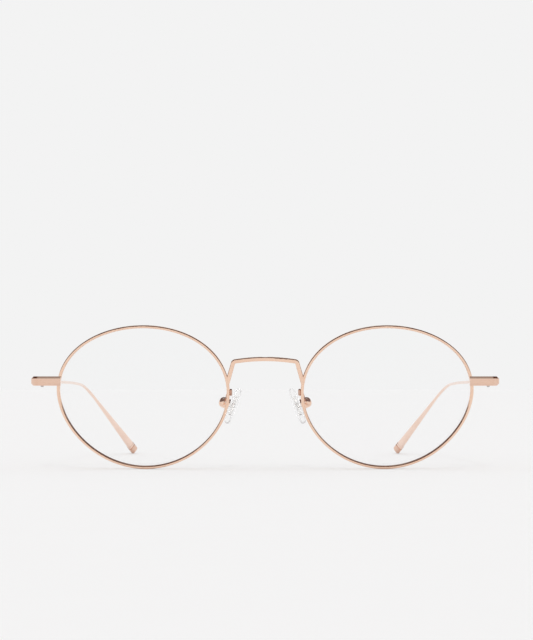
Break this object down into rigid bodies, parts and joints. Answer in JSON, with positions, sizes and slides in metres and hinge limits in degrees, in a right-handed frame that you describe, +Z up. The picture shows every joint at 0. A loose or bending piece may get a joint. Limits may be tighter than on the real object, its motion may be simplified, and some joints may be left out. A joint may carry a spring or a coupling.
{
  "type": "wire eyeglasses",
  "caption": "Oval wire eyeglasses with clear lenses, thin metal rims, a bent wire bridge, clear nose pads and folding temples with flattened ends.",
  "frame": {"origin": "on the table, below the centre of the open glasses", "axes": "-Y is where the wearer looks, +X is the right side seen from the front, +Z is up"},
  "size_m": [0.136, 0.1444, 0.0417],
  "materials": {
    "rose_gold": "polished rose gold plating",
    "screw_steel": "turned",
    "clear_lens": "polished, clear",
    "pad_core": "clear",
    "clear_silicone": "clear, satin"
  },
  "bodies": {
    "front": {"bridge": "rose_gold", "rim_left": "rose_gold", "lens_left": "clear_lens", "closing_block_upper_left": "rose_gold", "closing_block_lower_left": "rose_gold", "rim_screw_left": "screw_steel", "end_piece_left": "rose_gold", "hinge_front_left": "rose_gold", "hinge_screw_left": "screw_steel", "pad_arm_left": "rose_gold", "pad_cup_left": "rose_gold", "pad_screw_left": "screw_steel", "rim_right": "rose_gold", "lens_right": "clear_lens", "closing_block_upper_right": "rose_gold", "closing_block_lower_right": "rose_gold", "rim_screw_right": "screw_steel", "end_piece_right": "rose_gold", "hinge_front_right": "rose_gold", "hinge_screw_right": "screw_steel", "pad_arm_right": "rose_gold", "pad_cup_right": "rose_gold", "pad_screw_right": "screw_steel"},
    "temple_left": {"temple_left": "rose_gold", "hinge_temple_left": "rose_gold", "tip_collar_left": "rose_gold", "tip_cap_left": "rose_gold"},
    "temple_right": {"temple_right": "rose_gold", "hinge_temple_right": "rose_gold", "tip_collar_right": "rose_gold", "tip_cap_right": "rose_gold"},
    "pad_left": {"nose_pad_left": "clear_silicone", "pad_insert_left": "pad_core"},
    "pad_right": {"nose_pad_right": "clear_silicone", "pad_insert_right": "pad_core"}
  },
  "joints": [
    {"name": "temple_fold_left", "type": "hinge", "parent": "front", "child": "temple_left", "pos_m": [-0.065, -0.06491, 0.02552], "axis": [0, 0, -1], "range_deg": [0, 82]},
    {"name": "temple_fold_right", "type": "hinge", "parent": "front", "child": "temple_right", "pos_m": [0.065, -0.06491, 0.02552], "axis": [0, 0, 1], "range_deg": [0, 74]},
    {"name": "pad_rock_left", "type": "hinge", "parent": "front", "child": "pad_left", "pos_m": [-0.01152, -0.06181, 0.01904], "axis": [-0.1763, 0.9795, -0.0973], "range_deg": [-7, 7]},
    {"name": "pad_rock_right", "type": "hinge", "parent": "front", "child": "pad_right", "pos_m": [0.01152, -0.06181, 0.01904], "axis": [0.1763, 0.9795, -0.0973], "range_deg": [-7, 7]}
  ]
}
